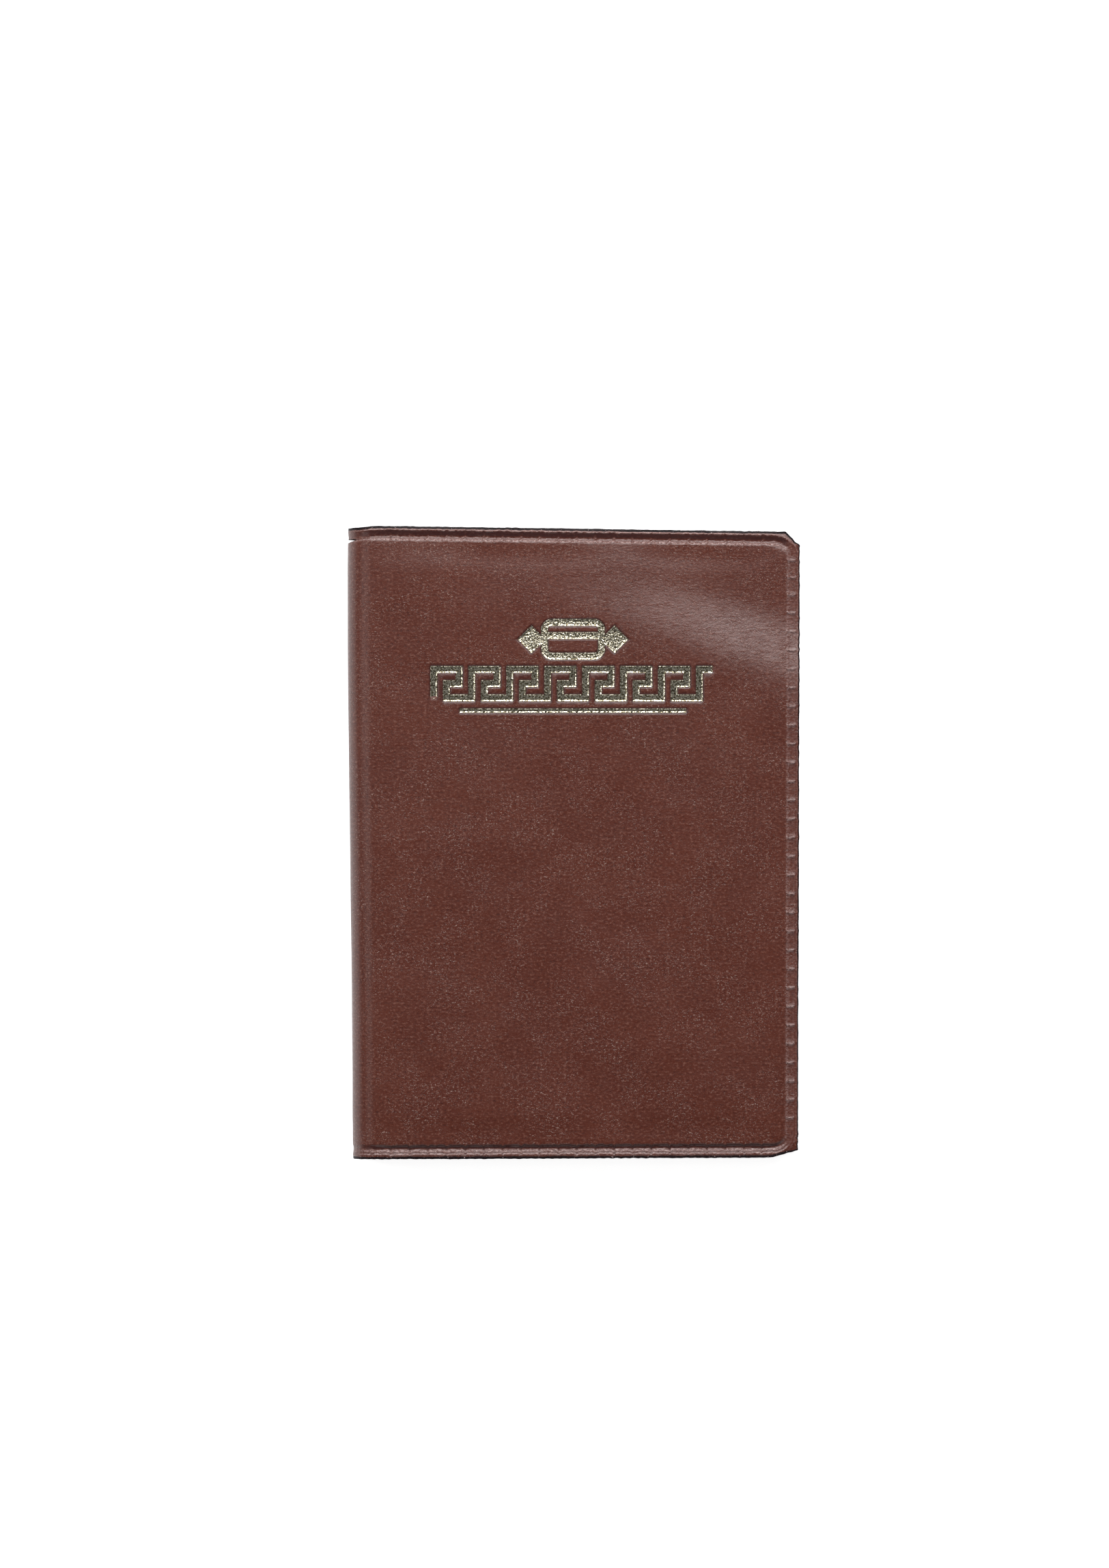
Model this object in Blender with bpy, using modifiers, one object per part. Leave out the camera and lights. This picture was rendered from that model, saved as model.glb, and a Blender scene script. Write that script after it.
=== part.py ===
"""Bifold holder for bank cards in leather-look PVC, closed and lying on its back cover.

X runs from the spine (-X) to the fore-edge (+X), Y along the spine, Z through the thickness.
The origin is the middle of the footprint, on the surface that the holder lies on.
Lengths are in metres and angles in radians. A depth is measured inwards from a cover's outer face.
"""

import math

import bmesh
import bpy
from mathutils import Vector

# Closed size
WIDTH = 0.086
HEIGHT = 0.120

# Sheet and film thicknesses
COVER = 0.0007
PADDING = 0.0006
LINING = 0.00025
FILM = 0.0002
COVER_SEAM = 0.0004
LEAF_SEAM = 0.0003
STRIP = 0.0004
FOIL = 0.0001

# Clearances
GAP = 0.0003  # between pieces that touch
FOIL_DROP = 0.00015  # the foil's face under the cover's face
LEAF_CLEARANCE = 0.0007  # from a leaf's turning axis to the ends of its films

# Welds
BORDER = 0.0026  # weld along the covers' outside edges
SEAM_WIDTH = 0.002  # inner weld beads
SPINE_MARGIN = 0.0015  # from the bend to the padding and the inner seam

# Cards and the pockets that hold them
CARD_HEIGHT = 0.0856
CARD_PROUD = 0.008  # the card's top edge above the pocket's mouth
NOTCH_RADIUS = 0.008  # thumb notch in a pocket's mouth

# Leaves
LEAVES = 2
LEAF_INSET = 0.0035  # from the covers' edges
LEAF_CORNER = 0.0015

# Trims at the fore-edge corners, along X and along Y
TOP_TRIM = (0.0027, 0.0028)
BOTTOM_TRIM = (0.0053, 0.0014)

# Foil ornament on the front cover
STROKE = 0.0011
EMBLEM_Y = 0.0385
EMBLEM_SIZE = (0.0119, 0.0075)
EMBLEM_CORNER = 0.0014
STRIPE_RISE = 0.0007  # the card symbol's stripe above its middle
LOZENGE = 0.005  # across its points
LOZENGE_LAP = 0.0006  # into the card symbol's frame
BAND_Y = 0.0301
BAND_SIZE = (0.0538, 0.0065)
BAND_UNITS = 7
RULE_Y = 0.025
RULE_SIZE = (0.0428, 0.0006)

# Facets
BEND_STEPS = 6
CORNER_STEPS = 4
NOTCH_STEPS = 32

# Sizes that follow
SIDE_STACK = COVER + PADDING + LINING + COVER_SEAM + FILM + 4 * GAP
LEAF_STACK = 2 * FILM + LEAF_SEAM + 2 * GAP
BLOCK = LEAVES * LEAF_STACK + (LEAVES - 1) * GAP
THICKNESS = 2 * SIDE_STACK + BLOCK + 2 * GAP
RADIUS = THICKNESS / 2  # the spine's outer radius
LINING_RADIUS = RADIUS - COVER - GAP
STRIP_RADIUS = LINING_RADIUS - LINING - GAP
SPINE_X = -WIDTH / 2
FORE_X = WIDTH / 2
TOP_Y = HEIGHT / 2
BOTTOM_Y = -HEIGHT / 2
BEND_X = SPINE_X + RADIUS  # where the covers turn into the spine
POCKET_X = BEND_X + SPINE_MARGIN
MOUTH_Y = BOTTOM_Y + BORDER + CARD_HEIGHT - CARD_PROUD
LINING_DEPTH = COVER + PADDING + 2 * GAP
COVER_SEAM_DEPTH = LINING_DEPTH + LINING + GAP
POCKET_DEPTH = COVER_SEAM_DEPTH + COVER_SEAM + GAP
LEAF_AXIS_X = BEND_X - (STRIP_RADIUS - STRIP) + GAP
LEAF_X = LEAF_AXIS_X + LEAF_CLEARANCE
LEAF_FORE_X = FORE_X - LEAF_INSET
LEAF_BOTTOM_Y = BOTTOM_Y + LEAF_INSET
# A quarter of the spine's arc, laid flat, reaches from the bend to a fold, so that the open
# holder is as long as its unrolled cover.
FOLD_INSET = RADIUS * (1 - math.pi / 4)
FOLD_X = SPINE_X + FOLD_INSET
FOLD_SPLIT = math.pi / 4  # where the spine's pieces meet the covers', from the bend
SPLIT_GAP = GAP / 2 / (STRIP_RADIUS - STRIP)


def clear_scene():
    for obj in list(bpy.data.objects):
        bpy.data.objects.remove(obj)


def new_collection(name):
    collection = bpy.data.collections.new(name)
    bpy.context.scene.collection.children.link(collection)
    return collection


def material(name, color, roughness, metallic=0.0, alpha=1.0):
    made = bpy.data.materials.new(name)
    made.use_nodes = True
    shader = made.node_tree.nodes["Principled BSDF"]
    shader.inputs["Base Color"].default_value = (*color, 1.0)
    shader.inputs["Roughness"].default_value = roughness
    shader.inputs["Metallic"].default_value = metallic
    shader.inputs["Alpha"].default_value = alpha
    return made


def leatherette(name):
    return material(name, (0.125, 0.047, 0.033), 0.45)


def foam(name):
    return material(name, (0.78, 0.74, 0.62), 0.9)


def lining_film(name):
    return material(name, (0.09, 0.035, 0.025), 0.4)


def clear_film(name):
    return material(name, (0.85, 0.88, 0.88), 0.12, alpha=0.35)


def gold_foil(name):
    return material(name, (0.75, 0.62, 0.33), 0.28, metallic=1.0)


class Body:
    """A rigid group of pieces, whose empty stands on the axis that it turns about."""

    def __init__(self, name, position=(0, 0, 0), parent=None):
        self.position = Vector(position)
        self.empty = bpy.data.objects.new(name, None)
        self.empty.location = self.position
        if parent:
            self.empty.parent = parent.empty
            self.empty.location = self.position - parent.position
        PARTS.objects.link(self.empty)

    def add(self, name, mesh, make_material, position=None):
        """A new piece of this body, from a mesh whose origin stands at position."""
        obj = bpy.data.objects.new(name, mesh)
        mesh.materials.append(make_material(name))
        PARTS.objects.link(obj)
        obj.parent = self.empty
        obj.location = Vector(position or self.position) - self.position
        return obj


def mesh_from(name, shape):
    mesh = bpy.data.meshes.new(name)
    shape.to_mesh(mesh)
    shape.free()
    return mesh


def box_shape(size):
    shape = bmesh.new()
    bmesh.ops.create_cube(shape, size=1.0)
    bmesh.ops.scale(shape, vec=size, verts=shape.verts)
    return shape


def box_mesh(name, size):
    return mesh_from(name, box_shape(size))


def prism_mesh(name, radius, sides, depth):
    """An upright prism, with a corner at +Y."""
    shape = bmesh.new()
    bmesh.ops.create_cone(shape, cap_ends=True, segments=sides, radius1=radius, radius2=radius, depth=depth)
    return mesh_from(name, shape)


def round_fore_corners(shape, signs):
    """Rounds a box's upright edges at +X whose Y has one of these signs."""
    upright = [edge for edge in shape.edges if edge.verts[0].co.xy == edge.verts[1].co.xy]
    fore = [edge for edge in upright if edge.verts[0].co.x > 0]
    rounded = [edge for edge in fore if any(edge.verts[0].co.y * sign > 0 for sign in signs)]
    bmesh.ops.bevel(shape, geom=rounded, offset=LEAF_CORNER, segments=CORNER_STEPS, profile=0.5,
                    affect="EDGES")


def extruded_mesh(name, points, step, outward, closed=False):
    """An open surface: the line through points, swept along step, with its faces to outward."""
    shape = bmesh.new()
    line = [shape.verts.new(point) for point in points]
    pairs = list(zip(line, line[1:]))
    if closed:
        pairs.append((line[-1], line[0]))
    edges = [shape.edges.new(pair) for pair in pairs]
    swept = bmesh.ops.extrude_edge_only(shape, edges=edges)["geom"]
    moved = [item for item in swept if isinstance(item, bmesh.types.BMVert)]
    bmesh.ops.translate(shape, vec=step, verts=moved)
    shape.normal_update()
    shape.faces.ensure_lookup_table()
    if shape.faces[0].normal.dot(Vector(outward)) < 0:
        bmesh.ops.reverse_faces(shape, faces=shape.faces)
    return mesh_from(name, shape)


def thicken(obj, thickness, offset):
    """Solidify: offset -1 grows behind the faces, 0 to both sides."""
    modifier = obj.modifiers.new("Thickness", "SOLIDIFY")
    modifier.thickness = thickness
    modifier.offset = offset
    modifier.use_even_offset = True


def boolean(obj, other, operation):
    modifier = obj.modifiers.new(other.name, "BOOLEAN")
    modifier.operation = operation
    modifier.object = other
    modifier.solver = "EXACT"


def cutter(name, mesh, position=(0, 0, 0), turn=0.0):
    obj = bpy.data.objects.new(name, mesh)
    CUTTERS.objects.link(obj)
    obj.location = position
    obj.rotation_euler.z = turn
    obj.hide_render = True
    obj.display_type = "WIRE"
    return obj


def height_of(side, depth):
    """World Z of a depth inside the back cover (side -1) or the front cover (side 1)."""
    return depth if side < 0 else THICKNESS - depth


def plate(body, name, x_range, y_range, z_range, make_material, corners=()):
    """A flat box. corners lists the signs of Y at which its fore-edge corner is rounded."""
    spans = (x_range, y_range, z_range)
    size = [abs(high - low) for low, high in spans]
    middle = [(low + high) / 2 for low, high in spans]
    shape = box_shape(size)
    if corners:
        round_fore_corners(shape, corners)
    return body.add(name, mesh_from(name, shape), make_material, middle)


def layer(side, depth, thickness):
    """The Z range of a flat piece at this depth under a cover's outer face."""
    return sorted((height_of(side, depth), height_of(side, depth + thickness)))


def bend_point(side, radius, angle):
    """A point on the bend around the spine's middle line, at an angle from the cover's plane."""
    return BEND_X - radius * math.sin(angle), height_of(side, RADIUS - radius * math.cos(angle))


def bend_arc(side, radius, first, last):
    angles = [first + (last - first) * step / BEND_STEPS for step in range(BEND_STEPS + 1)]
    return [bend_point(side, radius, angle) for angle in angles]


def curved_sheet(body, name, profile, thickness, half_length, outward, make_material):
    """A sheet that follows the XZ profile of its outer face, centred on Y."""
    start = body.position + Vector((0, half_length, 0))
    points = [Vector((x, 0, z)) - start for x, z in profile]
    mesh = extruded_mesh(name, points, (0, 2 * half_length, 0), outward)
    obj = body.add(name, mesh, make_material)
    thicken(obj, thickness, -1)
    return obj


def trim_cutter(name, trim, sign):
    """A block whose face cuts the fore-edge corner at the top (sign 1) or bottom (sign -1)."""
    along_x, along_y = trim
    side = 0.02
    outward = Vector((along_y, sign * along_x, 0)).normalized()
    on_cut = Vector((FORE_X - along_x / 2, sign * (TOP_Y - along_y / 2), RADIUS))
    turn = math.atan2(outward.y, outward.x)
    return cutter(name, box_mesh(name, (side, side, 2 * THICKNESS)), on_cut + outward * side / 2, turn)


def notch_cutter(name, x):
    return cutter(name, prism_mesh(name, NOTCH_RADIUS, NOTCH_STEPS, 2 * THICKNESS), (x, MOUTH_Y, RADIUS))


def cover_sheet(body, side, name):
    profile = [(FORE_X, height_of(side, 0))]
    profile += bend_arc(side, RADIUS, 0, FOLD_SPLIT - SPLIT_GAP)
    return curved_sheet(body, name, profile, COVER, TOP_Y, (0, 0, side), leatherette)


def lining_sheet(body, side, name):
    """The lining runs flat over the padding, then dips to the inside of the cover's bend."""
    dip = SPINE_MARGIN / LINING_RADIUS / 2
    profile = [(FORE_X, height_of(side, LINING_DEPTH)), (POCKET_X - GAP, height_of(side, LINING_DEPTH))]
    profile += bend_arc(side, LINING_RADIUS, dip, FOLD_SPLIT - SPLIT_GAP)
    return curved_sheet(body, name, profile, LINING, TOP_Y, (0, 0, side), lining_film)


def spine_sheet(body, name, radius, thickness, half_angle, half_length, make_material):
    """A sheet round the middle of the spine."""
    middle = math.pi / 2
    low = bend_arc(-1, radius, middle - half_angle, middle)
    high = bend_arc(-1, radius, middle, middle + half_angle)
    return curved_sheet(body, name, low + high[1:], thickness, half_length, (-1, 0, 0), make_material)


def cover_side(body, side, name, trims, notch):
    """One cover with its padding, lining and pocket. Returns the cover."""
    cover = cover_sheet(body, side, f"{name}_cover")
    padding_y = TOP_Y - BORDER - GAP
    plate(body, f"{name}_padding", (POCKET_X, FORE_X - BORDER - GAP), (-padding_y, padding_y),
          layer(side, COVER + GAP, PADDING), foam)
    lining = lining_sheet(body, side, f"{name}_lining")
    seam_z = layer(side, COVER_SEAM_DEPTH, COVER_SEAM)
    above_bottom = (BOTTOM_Y + BORDER + GAP, MOUTH_Y)
    bottom = plate(body, f"{name}_seam_bottom", (POCKET_X, FORE_X), (BOTTOM_Y, BOTTOM_Y + BORDER),
                   seam_z, clear_film)
    plate(body, f"{name}_seam_outer", (FORE_X - BORDER, FORE_X), above_bottom, seam_z, clear_film)
    plate(body, f"{name}_seam_inner", (POCKET_X, POCKET_X + SEAM_WIDTH), above_bottom, seam_z, clear_film)
    pocket = plate(body, f"{name}_pocket", (POCKET_X, FORE_X), (BOTTOM_Y, MOUTH_Y),
                   layer(side, POCKET_DEPTH, FILM), clear_film)
    for piece in (cover, lining):
        boolean(piece, trims["top"], "DIFFERENCE")
    for piece in (cover, lining, bottom, pocket):
        boolean(piece, trims["bottom"], "DIFFERENCE")
    boolean(pocket, notch, "DIFFERENCE")
    return cover


def leaf(body, name, low, notch):
    """A leaf: a full-height backing film and a shorter pocket film, joined by three seams."""
    x_range = (LEAF_X, LEAF_FORE_X)
    inner_x = (LEAF_X, LEAF_X + SEAM_WIDTH)
    outer_x = (LEAF_FORE_X - SEAM_WIDTH, LEAF_FORE_X)
    bottom_y = (LEAF_BOTTOM_Y, LEAF_BOTTOM_Y + SEAM_WIDTH)
    above_bottom = (bottom_y[1] + GAP, MOUTH_Y)
    seam_low = low + FILM + GAP
    seam_z = (seam_low, seam_low + LEAF_SEAM)
    pocket_low = seam_z[1] + GAP
    plate(body, f"{name}_backing", x_range, (LEAF_BOTTOM_Y, -LEAF_BOTTOM_Y), (low, low + FILM),
          clear_film, corners=(1, -1))
    plate(body, f"{name}_seam_bottom", x_range, bottom_y, seam_z, clear_film, corners=(-1,))
    plate(body, f"{name}_seam_outer", outer_x, above_bottom, seam_z, clear_film)
    plate(body, f"{name}_seam_inner", inner_x, above_bottom, seam_z, clear_film)
    pocket = plate(body, f"{name}_pocket", x_range, (LEAF_BOTTOM_Y, MOUTH_Y),
                   (pocket_low, pocket_low + FILM), clear_film, corners=(-1,))
    boolean(pocket, notch, "DIFFERENCE")


def rounded_rectangle(width, height, radius):
    """Points round a rectangle with arcs at its corners."""
    points = []
    for quarter, (x_sign, y_sign) in enumerate(((1, 1), (-1, 1), (-1, -1), (1, -1))):
        centre = (x_sign * (width / 2 - radius), y_sign * (height / 2 - radius))
        for step in range(CORNER_STEPS + 1):
            angle = (quarter + step / CORNER_STEPS) * math.pi / 2
            points.append((centre[0] + radius * math.cos(angle), centre[1] + radius * math.sin(angle)))
    return points


def meander(width, height, units):
    """A hooked wave of square turns: up, across, half down, half back, down and on."""
    unit = width / (units + 1 / 3)
    points = [(-width / 2, -height / 2)]
    for index in range(units):
        left = -width / 2 + index * unit
        points += [(left, height / 2), (left + unit * 2 / 3, height / 2), (left + unit * 2 / 3, 0),
                   (left + unit / 3, 0), (left + unit / 3, -height / 2), (left + unit, -height / 2)]
    points += [(width / 2 - unit / 3, height / 2), (width / 2, height / 2)]
    return points


def lengthened(points, by):
    """The same line, with each end moved outwards by this much."""
    ends = []
    for end, beside in ((points[0], points[1]), (points[-1], points[-2])):
        run = math.dist(end, beside)
        ends.append(tuple(e + (e - b) * by / run for e, b in zip(end, beside)))
    return [ends[0], *points[1:-1], ends[1]]


def ribbon_mesh(name, points, depth, closed=False):
    """A wall along points in XY, centred on Z, to be thickened to a stroke."""
    line = [Vector((x, y, -depth / 2)) for x, y in points]
    start, then = line[0], line[1]
    aside = (then - start).cross(Vector((0, 0, 1)))
    return extruded_mesh(name, line, (0, 0, depth), aside, closed)


def stroke(add, name, points, grow, depth, closed=False):
    line = points if closed else lengthened(points, grow)
    obj = add(name, ribbon_mesh(name, line, depth, closed))
    thicken(obj, STROKE + 2 * grow, 0)
    return obj


def emblem(add, name, grow, depth, place):
    """A bank card's outline with its stripe, between two lozenges. grow widens every stroke."""
    width, height = EMBLEM_SIZE
    frame = rounded_rectangle(width - STROKE, height - STROKE, EMBLEM_CORNER)
    obj = stroke(add, name, frame, grow, depth, closed=True)
    bar = (width - STROKE, STROKE + 2 * grow, depth)
    stripe_place = Vector(place) + Vector((0, STRIPE_RISE, 0))
    boolean(obj, cutter(f"{name}_stripe", box_mesh("stripe", bar), stripe_place), "UNION")
    across = LOZENGE + 2 * math.sqrt(2) * grow
    reach = width / 2 + LOZENGE / 2 - LOZENGE_LAP
    for index, x in enumerate((-reach, reach)):
        lozenge = prism_mesh("lozenge", across / 2, 4, depth)
        joined = cutter(f"{name}_lozenge_{index}", lozenge, Vector(place) + Vector((x, 0, 0)))
        boolean(obj, joined, "UNION")
    return obj


def foil_pieces(body, cover):
    """The ornament's three pieces of foil, each in a recess of the cover."""
    foil_z = THICKNESS - FOIL_DROP - FOIL / 2
    recess = FOIL_DROP + FOIL + GAP
    band_line = meander(BAND_SIZE[0] - STROKE, BAND_SIZE[1] - STROKE, BAND_UNITS)

    def foil_at(y):
        return lambda name, mesh: body.add(name, mesh, gold_foil, (0, y, foil_z))

    def recess_at(y):
        return lambda name, mesh: cutter(name, mesh, (0, y, THICKNESS))

    emblem(foil_at(EMBLEM_Y), "foil_emblem", 0, FOIL, (0, EMBLEM_Y, foil_z))
    on_face = (0, EMBLEM_Y, THICKNESS)
    emblem_recess = emblem(recess_at(EMBLEM_Y), "emblem_recess", GAP, 2 * recess, on_face)
    stroke(foil_at(BAND_Y), "foil_band", band_line, 0, FOIL)
    band_recess = stroke(recess_at(BAND_Y), "band_recess", band_line, GAP, 2 * recess)
    foil_at(RULE_Y)("foil_rule", box_mesh("foil_rule", (*RULE_SIZE, FOIL)))
    rule_room = [side + 2 * GAP for side in RULE_SIZE]
    rule_recess = recess_at(RULE_Y)("rule_recess", box_mesh("rule_recess", (*rule_room, 2 * recess)))
    for hollow in (emblem_recess, band_recess, rule_recess):
        boolean(cover, hollow, "DIFFERENCE")


def build():
    back = Body("back")
    spine = Body("rear_fold", (FOLD_X, 0, FOLD_INSET), back)
    front = Body("front_fold", (FOLD_X, 0, THICKNESS - FOLD_INSET), spine)
    trims = {
        "top": trim_cutter("top_trim", TOP_TRIM, 1),
        "bottom": trim_cutter("bottom_trim", BOTTOM_TRIM, -1),
    }
    pocket_middle = (POCKET_X + SEAM_WIDTH + FORE_X - BORDER) / 2
    cover_notch = notch_cutter("cover_notch", pocket_middle)
    leaf_notch = notch_cutter("leaf_notch", (LEAF_X + LEAF_FORE_X) / 2)

    cover_side(back, -1, "back", trims, cover_notch)
    foil_pieces(front, cover_side(front, 1, "front", trims, cover_notch))

    half_spine = math.pi / 2 - FOLD_SPLIT - SPLIT_GAP
    spine_sheet(spine, "spine_cover", RADIUS, COVER, half_spine, TOP_Y, leatherette)
    spine_sheet(spine, "spine_lining", LINING_RADIUS, LINING, half_spine, TOP_Y, lining_film)
    strip_angle = math.asin(BLOCK / 2 / STRIP_RADIUS)
    spine_sheet(spine, "binding_strip", STRIP_RADIUS, STRIP, strip_angle, TOP_Y - LEAF_INSET, lining_film)

    for index in range(LEAVES):
        low = SIDE_STACK + GAP + index * (LEAF_STACK + GAP)
        axis = (LEAF_AXIS_X, 0, low + LEAF_STACK / 2)
        body = Body(f"leaf_{index + 1}_turn", axis, spine)
        leaf(body, f"leaf_{index + 1}", low, leaf_notch)


clear_scene()
PARTS = new_collection("card_holder")
CUTTERS = new_collection("cutters")
build()
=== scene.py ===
"""Bank card holder in brown leather-look sheet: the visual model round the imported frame.

X runs from the spine (-X) to the fore-edge (+X), Y along the spine and Z through the thickness.
Lengths are in millimetres until a mesh or a light is made. side is 1 for the front cover and -1
for the back one. A cover's plan is its sheet laid flat: X goes on past the bend, round the spine.
A depth is measured inwards from a cover's outer face.
"""

import math

import bmesh
import bpy
import numpy as np
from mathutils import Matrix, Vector


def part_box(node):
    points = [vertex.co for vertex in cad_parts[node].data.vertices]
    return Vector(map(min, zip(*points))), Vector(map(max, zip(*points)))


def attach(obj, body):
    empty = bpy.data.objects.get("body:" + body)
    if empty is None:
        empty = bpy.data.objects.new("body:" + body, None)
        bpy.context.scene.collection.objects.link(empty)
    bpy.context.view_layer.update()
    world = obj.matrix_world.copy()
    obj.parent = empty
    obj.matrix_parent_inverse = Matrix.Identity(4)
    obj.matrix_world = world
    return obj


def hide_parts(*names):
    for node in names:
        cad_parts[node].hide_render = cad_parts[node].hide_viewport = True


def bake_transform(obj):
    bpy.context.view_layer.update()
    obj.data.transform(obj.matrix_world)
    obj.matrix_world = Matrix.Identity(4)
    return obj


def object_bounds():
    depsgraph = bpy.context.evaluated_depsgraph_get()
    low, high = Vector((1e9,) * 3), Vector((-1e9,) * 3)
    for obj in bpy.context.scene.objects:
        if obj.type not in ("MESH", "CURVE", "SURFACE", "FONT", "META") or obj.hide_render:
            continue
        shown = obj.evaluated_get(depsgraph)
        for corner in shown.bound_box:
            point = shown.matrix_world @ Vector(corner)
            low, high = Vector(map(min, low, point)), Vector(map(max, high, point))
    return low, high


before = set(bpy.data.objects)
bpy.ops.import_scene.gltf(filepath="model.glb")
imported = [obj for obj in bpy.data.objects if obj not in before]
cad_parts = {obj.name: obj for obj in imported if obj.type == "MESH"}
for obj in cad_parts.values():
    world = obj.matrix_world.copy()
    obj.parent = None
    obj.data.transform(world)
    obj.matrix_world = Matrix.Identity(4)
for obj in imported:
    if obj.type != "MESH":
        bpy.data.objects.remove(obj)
CAD_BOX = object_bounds()

MM = 0.001
BODY = {-1: "back", 1: "front"}  # a cover's body, by its side

# Sizes from the frame
LOW, HIGH = (np.array(corner) / MM for corner in CAD_BOX)
SPINE_X, BOTTOM_Y = LOW[:2]
FORE_X, TOP_Y, THICKNESS = HIGH
RADIUS = THICKNESS / 2  # of the spine
BEND_X = SPINE_X + RADIUS  # where a cover turns into the spine
MID_X = BEND_X - RADIUS * math.pi / 2  # the plan's X half way round the spine
TOP_TRIM = (2.7, 2.8)  # the cut fore-edge corners, along X and along Y
BOTTOM_TRIM = (5.3, 1.4)


def node_box(node):
    """A node's lowest and highest corner, in millimetres."""
    return [np.array(corner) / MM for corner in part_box(node)]


def node_centre(node):
    low, high = node_box(node)
    return (low + high) / 2


# ---- camera, stage and light

SCAN_SIZE = (0.210, 0.2969)  # what the picture shows of the floor, in metres
CAMERA_AIM = (-0.0035, 0.0111)
CAMERA_HEIGHT = 1.5
SENSOR = 36.0
LIGHTS = (  # name, place and size in metres, power in watts
    ("key", (0.0, 0.60, 0.54), (0.8, 0.10), 5.2),
    ("high_key", (0.08, 0.40, 0.68), (0.6, 0.08), 1.9),
    ("left_strip", (-0.48, 0.05, 0.58), (0.06, 0.5), 0.7),
    ("front_fill", (0.0, -0.70, 0.40), (0.9, 0.3), 1.2),
)
CEILING_LIGHT, WALL_LIGHT = 0.11, 1.1
BACKDROP = 0.92  # the world's least brightness where the camera sees it
FLOOR_GLOW = 0.85  # keeps the floor as white as a scanner's lid


def aim(obj, target=(0, 0, 0)):
    toward = Vector(target) - obj.location
    obj.rotation_mode = "QUATERNION"
    obj.rotation_quaternion = toward.to_track_quat("-Z", "Y")


def add_camera():
    data = bpy.data.cameras.new("camera")
    data.sensor_width = SENSOR
    data.lens = SENSOR * CAMERA_HEIGHT / SCAN_SIZE[1]
    data.clip_start = 0.05
    data.clip_end = 10
    camera = bpy.data.objects.new("camera", data)
    bpy.context.scene.collection.objects.link(camera)
    camera.location = (*CAMERA_AIM, THICKNESS * MM + CAMERA_HEIGHT)
    bpy.context.scene.camera = camera


def add_area_light(name, place, size, power):
    data = bpy.data.lights.new(name, "AREA")
    data.shape = "RECTANGLE"
    data.size, data.size_y = size
    data.energy = power
    light = bpy.data.objects.new(name, data)
    bpy.context.scene.collection.objects.link(light)
    light.location = place
    aim(light)


def add_world():
    """The studio round the holder has a dim ceiling and one bright wall, behind the top edge."""
    world = bpy.data.worlds.new("world")
    world.use_nodes = True
    tree = world.node_tree
    direction = node(tree, "ShaderNodeTexCoord").outputs["Generated"]
    along = node(tree, "ShaderNodeSeparateXYZ", {0: direction})
    low = remap(tree, along.outputs["Z"], 0.55, 0.15)
    behind = remap(tree, along.outputs["Y"], -0.1, 0.7)
    right = remap(tree, along.outputs["X"], 0.2, 0.9, 0.0, 0.5)
    wall = product(tree, low, maths(tree, "MAXIMUM", behind, right))
    lit = maths(tree, "ADD", CEILING_LIGHT, product(tree, wall, WALL_LIGHT))
    seen = node(tree, "ShaderNodeLightPath").outputs["Is Camera Ray"]
    strength = maths(tree, "MAXIMUM", lit, product(tree, seen, BACKDROP))
    tree.links.new(strength, tree.nodes["Background"].inputs["Strength"])
    tree.nodes["Background"].inputs["Color"].default_value = (1, 1, 1, 1)
    bpy.context.scene.world = world


def add_floor():
    size, drop = 3.0, 0.0002
    mesh = bpy.data.meshes.new("floor")
    corners = [(x, y, -drop) for x, y in ((-size, -size), (size, -size), (size, size), (-size, size))]
    mesh.from_pydata(corners, [], [(0, 1, 2, 3)])
    floor = bpy.data.objects.new("floor", mesh)
    bpy.context.scene.collection.objects.link(floor)
    made, _, shader = new_material("floor")
    shader.inputs["Base Color"].default_value = (0.55, 0.55, 0.55, 1)
    shader.inputs["Roughness"].default_value = 0.9
    shader.inputs["Specular IOR Level"].default_value = 0.1
    shader.inputs["Emission Color"].default_value = (1, 1, 1, 1)
    shader.inputs["Emission Strength"].default_value = FLOOR_GLOW
    mesh.materials.append(made)


def add_stage():
    add_camera()
    add_floor()
    for light in LIGHTS:
        add_area_light(*light)
    add_world()
    bpy.context.scene.view_settings.view_transform = "Standard"


# ---- material nodes


def new_material(name):
    made = bpy.data.materials.new(name)
    made.use_nodes = True
    return made, made.node_tree, made.node_tree.nodes["Principled BSDF"]


def node(tree, kind, inputs=None, **settings):
    """A node with these settings, whose inputs are values or links from other sockets."""
    made = tree.nodes.new(kind)
    for key, value in settings.items():
        setattr(made, key, value)
    for key, value in (inputs or {}).items():
        if isinstance(value, bpy.types.NodeSocket):
            tree.links.new(value, made.inputs[key])
        else:
            made.inputs[key].default_value = value
    return made


def sheet_place(tree, stretch=(1, 1)):
    """Places on the flat sheet, in metres, stretched along X and Y."""
    flat = node(tree, "ShaderNodeUVMap", uv_map="cut")
    inputs = {0: flat.outputs["UV"], 1: (1 / stretch[0], 1 / stretch[1], 1)}
    return node(tree, "ShaderNodeVectorMath", inputs, operation="MULTIPLY").outputs[0]


def noise(tree, place, size, detail=2.0, roughness=0.5):
    """Noise whose features are about this many millimetres across."""
    inputs = {"Vector": place, "Scale": 1 / (size * MM), "Detail": detail, "Roughness": roughness}
    return node(tree, "ShaderNodeTexNoise", inputs).outputs["Fac"]


def cells(tree, place, size):
    """The distance to the middle of the nearest cell, for cells of this many millimetres."""
    inputs = {"Vector": place, "Scale": 1 / (size * MM)}
    return node(tree, "ShaderNodeTexVoronoi", inputs).outputs["Distance"]


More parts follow.
